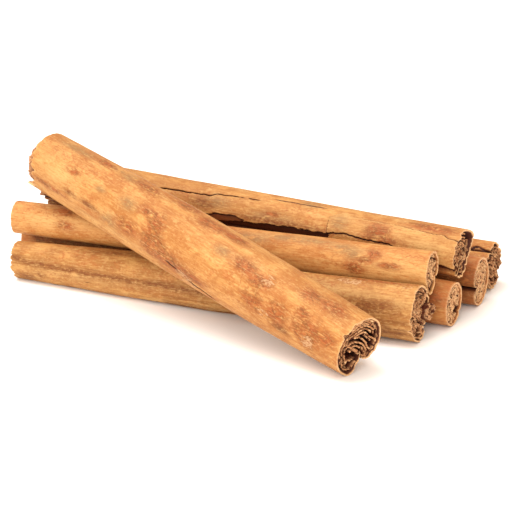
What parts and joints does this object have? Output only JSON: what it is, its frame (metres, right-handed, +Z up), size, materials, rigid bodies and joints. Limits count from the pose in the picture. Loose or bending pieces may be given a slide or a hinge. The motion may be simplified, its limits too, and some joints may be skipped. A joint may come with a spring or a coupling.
{
  "type": "stack of cinnamon sticks",
  "caption": "Stack of long rolled cinnamon quills: a row on the table, a second layer in its valleys, and one thicker quill laid slantwise across with its right end on the table.",
  "frame": {"origin": "under the middle of the stack's footprint, on the surface it lies on", "axes": "+X along the parallel quills, towards their near ends; +Y from the front quill to the back one; +Z up"},
  "size_m": [0.1308, 0.0904, 0.0417],
  "materials": {
    "front_stick_bark": "dry matt olive-tan bark with a dark lengthwise band",
    "second_stick_bark": "dry matt reddish-brown bark, pale layered ends",
    "third_stick_bark": "dry matt reddish-brown bark, pale layered ends",
    "back_stick_bark": "dry matt tan bark, dark ragged ends",
    "upper_front_stick_bark": "dry matt peach-tan bark, smooth",
    "upper_back_stick_bark": "dry matt golden-tan bark, cracked and flaking",
    "top_stick_bark": "dry matt golden-tan bark with reddish blotches and pale scabs"
  },
  "bodies": {
    "root": {"front_stick": "front_stick_bark", "second_stick": "second_stick_bark", "third_stick": "third_stick_bark", "back_stick": "back_stick_bark", "upper_front_stick": "upper_front_stick_bark", "upper_back_stick": "upper_back_stick_bark", "top_stick": "top_stick_bark"}
  },
  "joints": []
}
